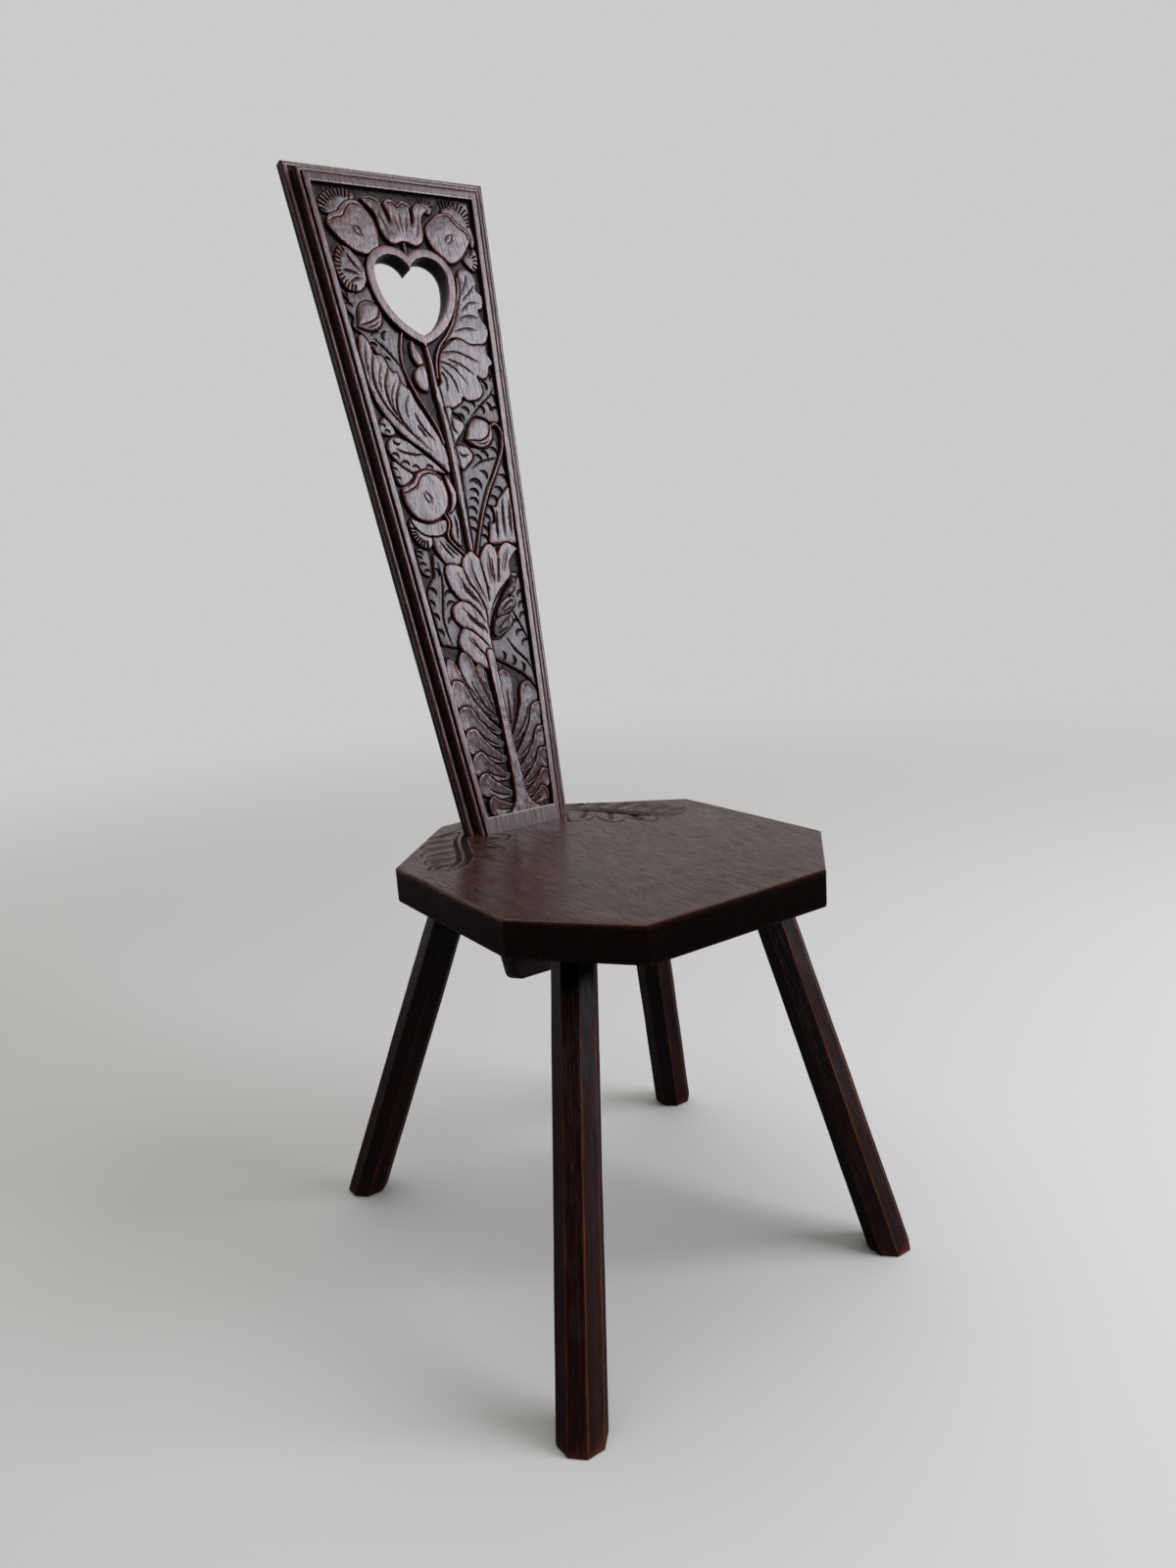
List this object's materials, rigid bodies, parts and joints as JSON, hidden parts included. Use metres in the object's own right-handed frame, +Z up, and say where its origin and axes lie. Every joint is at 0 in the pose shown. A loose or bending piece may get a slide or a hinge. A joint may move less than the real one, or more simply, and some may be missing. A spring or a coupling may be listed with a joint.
{
  "type": "spinning chair",
  "caption": "Low wooden chair with an octagonal plank seat on splayed octagonal legs and one leaning, tapered, carved back plank pierced by a heart.",
  "frame": {"origin": "on the floor, under the middle of the whole chair's box", "axes": "+Z up, the sitter faces -Y, so +X is the sitter's left"},
  "size_m": [0.3696, 0.468, 0.9018],
  "materials": {
    "polished_seat_oak": "dark brown-black stained oak, worn to a soft polish, grain running front to back",
    "carved_back_oak": "dark red-brown stained carved oak, greyish sheen, rubbed high edges",
    "stained_leg_oak": "dark stained oak, reddish rubbed arrises",
    "peg_oak": "dark stained oak end grain"
  },
  "bodies": {
    "root": {"seat_board": "polished_seat_oak", "back_plank": "carved_back_oak", "front_right_leg": "stained_leg_oak", "front_left_leg": "stained_leg_oak", "rear_right_leg": "stained_leg_oak", "rear_left_leg": "stained_leg_oak", "front_right_wedge": "peg_oak", "front_left_wedge": "peg_oak", "rear_right_wedge": "peg_oak", "rear_left_wedge": "peg_oak", "right_back_peg": "peg_oak", "left_back_peg": "peg_oak"}
  },
  "joints": []
}
